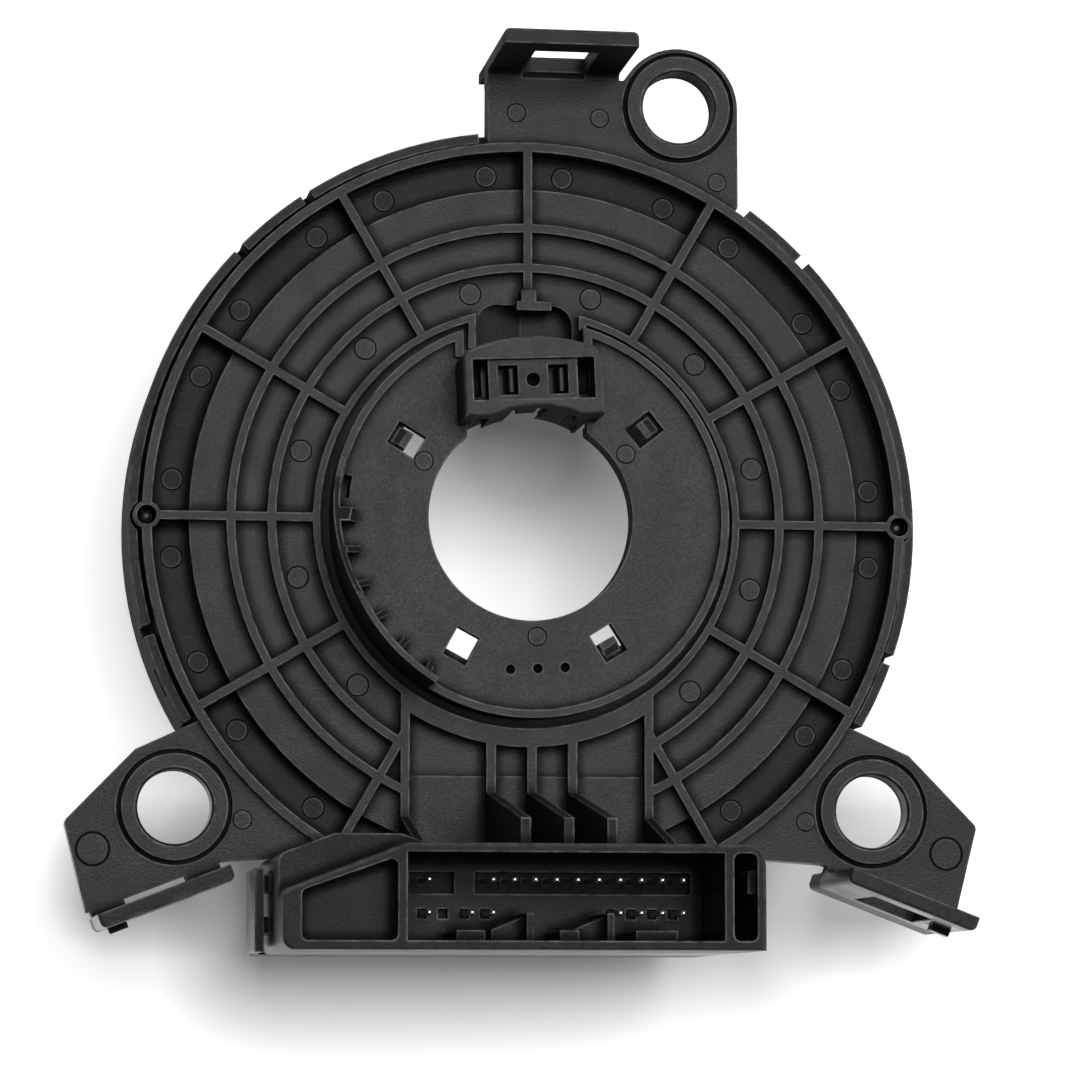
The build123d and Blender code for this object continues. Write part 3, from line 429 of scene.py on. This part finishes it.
# %% Dress the solids
FINISHES = {
    housing_plastic: ["rear_housing"],
    case_plastic: ["front_case", "connector_side_latch"],
    rotor_plastic: ["rotor_hub", "rotor_rear_disc", "rear_socket", "airbag_socket", "switch_socket"],
    insert_plastic: ["contact_insert", "outer_cable_terminal", "inner_cable_terminal"],
    carrier_plastic: ["terminal_carrier"],
    slip_film: ["rear_sliding_sheet", "front_sliding_sheet"],
    ribbon_film: ["flat_cable"],
    tinned_terminal: ["upper_terminals", "lower_terminals", "airbag_socket_pins", "switch_socket_pins"],
    spring_steel: ["left_spring_contact", "right_spring_contact"],
}
for material, names in FINISHES.items():
    for name in names:
        for slot in nodes[name].material_slots:
            slot.material = material
dressed = sum(len(names) for names in FINISHES.values())
print("finished nodes:", dressed, "of", len(nodes))

# %% [markdown]
# ## Ejector marks
#
# Pins push the hot moulding out of its mould, and each leaves a shallow round mark with a fine groove.
# A mark could be a cylinder cut into the solid, but it stands out by less than a tenth of a millimetre. So
# it is a small turned disc that lies on the face instead: one profile, spun about its upright axis, with
# its outer rim sunk a little below the face so that no gap shows. All marks on one body are one piece.

# %% One mark, and a piece made of marks
# Radius and height in mm, and how much painted shade the groove gets, from the middle of a mark outwards
MARK_PROFILE = [
    (0.0, 0.06, 0.0),
    (1.20, 0.06, 0.0),
    (1.28, 0.02, 1.0),
    (1.44, 0.02, 1.0),
    (1.52, -0.02, 0.0),
]
MARK_STEPS = 24


def add_mark(shape, x, y, z, scale):
    """One round mark, spun about its own upright axis."""
    groove = shape.verts.layers.float["groove"]
    points = []
    for radius, rise, depth in MARK_PROFILE:
        point = shape.verts.new((x + radius * scale * MM, y, z + rise * MM))
        # The groove's dark line is painted shade, carried by this number
        point[groove] = depth
        points.append(point)
    edges = [shape.edges.new(pair) for pair in zip(points, points[1:])]
    bmesh.ops.spin(shape, geom=points + edges, cent=(x, y, z), axis=(0, 0, 1), angle=2 * pi,
                   steps=MARK_STEPS, use_merge=True)


def marks_piece(name, places, material, body):
    """A mark at each place, joined as one piece that rides with a body."""
    shape = bmesh.new()
    shape.verts.layers.float.new("groove")
    for place in places:
        add_mark(shape, *place)
    bmesh.ops.remove_doubles(shape, verts=shape.verts, dist=0.001 * MM)
    bmesh.ops.recalc_face_normals(shape, faces=shape.faces)
    mesh = bpy.data.meshes.new(name)
    shape.to_mesh(mesh)
    shape.free()
    mesh.materials.append(material)
    piece = bpy.data.objects.new(name, mesh)
    bpy.context.scene.collection.objects.link(piece)
    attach(piece, body)
    return piece


print("a mark has", len(MARK_PROFILE) * MARK_STEPS, "points before its middle is merged")

# %% [markdown]
# ## Where the marks are
#
# They stand in pairs beside the spokes on the floor of the outer trough, except where the connector stands,
# and in a circle on the inner band. One or two are on each ear, and three on the turning disc.

# %% Place the marks
# Heights of the faces that carry marks
TROUGH_Z, BAND_Z, EAR_Z, DISC_Z = -3.6 * MM, -1.2 * MM, -0.5 * MM, 3.0 * MM
# Radii in mm and angles in degrees. Marks on the ears are given by x and y in mm.
SPOKES = 12
BESIDE_SPOKE = 6.3
CONNECTOR_FROM, CONNECTOR_TO = 238, 302
TROUGH_RADIUS, BAND_RADIUS = 44.8, 29.8
BAND_ANGLES = (14, 43.5, 74, 104, 133.5, 163.5, 194.5, 224.5, 314.5, 344)
SMALL_EAR_MARKS = ((-1.4, 52.3), (9.3, 51.9), (24.5, 44.0), (-35.6, -37.8), (35.5, -37.6))
LARGE_EAR_MARKS = ((-54.0, -41.5), (53.6, -41.5))
DISC_MARKS = ((14.6, 34.5), (15.2, 152.8), (14.9, 273.0))
SMALL, PLAIN, LARGE = 0.85, 1.0, 1.5


def around(radius, degrees):
    """The point at an angle on a circle of radius mm about the axis, in metres."""
    return radius * MM * cos(radians(degrees)), radius * MM * sin(radians(degrees))


housing_places = []
for spoke in range(SPOKES):
    for side in (-1, 1):
        angle = 360 / SPOKES * spoke + BESIDE_SPOKE * side
        if not CONNECTOR_FROM < angle < CONNECTOR_TO:
            housing_places.append((*around(TROUGH_RADIUS, angle), TROUGH_Z, PLAIN))
housing_places += [(*around(BAND_RADIUS, angle), BAND_Z, PLAIN) for angle in BAND_ANGLES]
housing_places += [(x * MM, y * MM, EAR_Z, SMALL) for x, y in SMALL_EAR_MARKS]
housing_places += [(x * MM, y * MM, EAR_Z, LARGE) for x, y in LARGE_EAR_MARKS]
rotor_places = [(*around(radius, angle), DISC_Z, SMALL) for radius, angle in DISC_MARKS]

housing_marks = marks_piece("housing_ejector_marks", housing_places, housing_plastic, "stator")
rotor_marks = marks_piece("rotor_ejector_marks", rotor_places, rotor_plastic, "rotor")
print("ejector marks:", len(housing_places), "on the housing and", len(rotor_places), "on the rotor, with",
      len(housing_marks.data.polygons) + len(rotor_marks.data.polygons), "faces")

# %% [markdown]
# ## The table
#
# The part lies on a large white table. One flat square is enough, at the height of the part's lowest point.

# %% The table
TABLE_HALF = 3.0

table_mesh = bpy.data.meshes.new("table")
shape = bmesh.new()
bmesh.ops.create_grid(shape, x_segments=1, y_segments=1, size=TABLE_HALF)
bmesh.ops.translate(shape, verts=shape.verts, vec=(0, 0, cad_box[0].z))
shape.to_mesh(table_mesh)
shape.free()
floor = bpy.data.objects.new("table", table_mesh)
bpy.context.scene.collection.objects.link(floor)
print("table at z", round(cad_box[0].z / MM, 2), "mm")

# %% [markdown]
# ## The table's white
#
# The table runs out to plain white around the part. Only close to the walls of the connector and the clips,
# and under the rotor's open middle, does a soft shadow show. Stronger lamps would make the part too pale as
# well. So camera and mirror rays see a share of plain white on top of the table's own light, and this share
# falls off near those places. The light on the part stays as it is.

# %% The table's white
WHITE = (1, 1, 1)
TABLE_COLOUR = (0.82, 0.82, 0.83)
LIFT_FAR, LIFT_NEAR = 0.62, 0.10
# Each place: the middle of its shadow's core, half its size, and where the shadow starts and stops to
# fade, all in mm
SHADED = [
    ((0.5, -48.0), (32.5, 6.0), 1, 13),
    ((49.0, -42.0), (4.0, 6.0), 1, 11),
    ((-46.0, -44.0), (4.0, 2.0), 1, 9),
    ((4.0, 13.0), (0.0, 0.0), 7, 30),
]


def beyond(finish, axis, middle, half):
    """How far a point lies outside a stretch along one axis, in mm."""
    along = finish.split(finish.coordinates(), axis) * (1 / MM)
    return ((along - middle).absolute() - half).at_least(0.0)


white = Finish("table_white")
# Near the part the added white is lowered, so the soft shadows there are partly painted shadow
open_share = 1.0
for (x, y), (half_x, half_y), start, stop in SHADED:
    off_x = beyond(white, 0, x, half_x)
    off_y = beyond(white, 1, y, half_y)
    open_share = white.ramp((off_x * off_x + off_y * off_y).root(), start, stop) * open_share
seen = (white.node("ShaderNodeLightPath", output="Is Camera Ray")
        + white.node("ShaderNodeLightPath", output="Is Glossy Ray")
        + white.node("ShaderNodeLightPath", output="Is Transmission Ray"))
lift = white.mix(open_share, shade(WHITE, LIFT_NEAR), shade(WHITE, LIFT_FAR))
white.surface(Base_Color=shade(TABLE_COLOUR), Roughness=0.9, Emission_Strength=1.0,
              Emission_Color=white.mix(seen, shade(WHITE, 0.0), lift))
table_mesh.materials.append(white.material)
print("shaded places on the table:", len(SHADED))

# %% [markdown]
# ## The surroundings
#
# Past the table's edge the camera sees the world. It is plain white to the camera and behind anything
# clear, but it lights the part only faintly, so that the lamps decide how the part is lit.

# %% The surroundings
AMBIENT = 0.08

world = bpy.data.worlds.new("studio")
bpy.context.scene.world = world
world.use_nodes = True
sky = NodeTree(world.node_tree)
background = sky.tree.nodes["Background"]
looked_at = sky.node("ShaderNodeLightPath", output="Is Camera Ray").at_least(
    sky.node("ShaderNodeLightPath", output="Is Transmission Ray"))
sky.put(background.inputs["Strength"], looked_at * (1 - AMBIENT) + AMBIENT)
sky.put(background.inputs["Color"], shade(WHITE))
print("ambient light:", AMBIENT)

# %% [markdown]
# ## Lights
#
# The shadows lie almost straight under the part, with a soft border as wide as half the bore's own height.
# That places one broad lamp almost straight above. The right half of the part is the brighter one, so a
# second, wider and weaker lamp stands to the upper right. The etched faces mirror both softly towards the
# camera, and everything that stands upright stays black.

# %% Lights
def lamp(name, place_mm, watts, width):
    """A square soft lamp that points at the part."""
    data = bpy.data.lights.new(name, "AREA")
    data.energy = watts
    data.size = width
    lamp_object = bpy.data.objects.new(name, data)
    bpy.context.scene.collection.objects.link(lamp_object)
    lamp_object.location = Vector(place_mm) * MM
    lamp_object.rotation_euler = (-lamp_object.location).to_track_quat("-Z", "Y").to_euler()
    return lamp_object


lamps = [
    lamp("key_lamp", (10, 130, 900), watts=5.2, width=0.42),
    lamp("side_lamp", (400, 170, 800), watts=3.8, width=0.60),
]
print("lamps:", [lamp_object.name for lamp_object in lamps])
